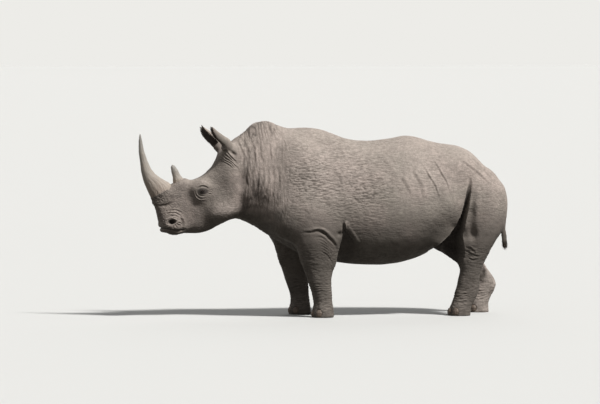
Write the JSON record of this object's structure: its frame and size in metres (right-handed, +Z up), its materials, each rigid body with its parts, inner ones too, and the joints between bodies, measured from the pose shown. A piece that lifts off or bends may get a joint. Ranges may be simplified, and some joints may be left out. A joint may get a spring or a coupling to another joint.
{
  "type": "white rhinoceros",
  "caption": "Life-size white rhinoceros standing still with its head low, as a natural history display model.",
  "frame": {"origin": "on the ground, under the middle of the whole animal's box", "axes": "+Z up, +X towards the tail, so the head faces -X, +Y towards the animal's right side"},
  "size_m": [3.3796, 0.9314, 1.7549],
  "materials": {
    "hide": "dry thick wrinkled hide, matt, dusted",
    "horn": "fibrous keratin, rough at the base, smoother towards the tip",
    "nail": "worn keratin, dull",
    "eye": "wet, glossy, dark brown",
    "hair": "coarse dark bristle in tufts"
  },
  "bodies": {
    "root": {"head": "hide", "neck": "hide", "trunk": "hide", "tail": "hide", "leg_front_left": "hide", "leg_front_right": "hide", "leg_hind_left": "hide", "leg_hind_right": "hide", "ear_left": "hide", "ear_right": "hide", "nail_front_left_inner": "nail", "nail_front_left_middle": "nail", "nail_front_left_outer": "nail", "nail_front_right_inner": "nail", "nail_front_right_middle": "nail", "nail_front_right_outer": "nail", "nail_hind_left_inner": "nail", "nail_hind_left_middle": "nail", "nail_hind_left_outer": "nail", "nail_hind_right_inner": "nail", "nail_hind_right_middle": "nail", "nail_hind_right_outer": "nail", "horn_front": "horn", "horn_rear": "horn", "eye_left": "eye", "eye_right": "eye"}
  },
  "joints": []
}
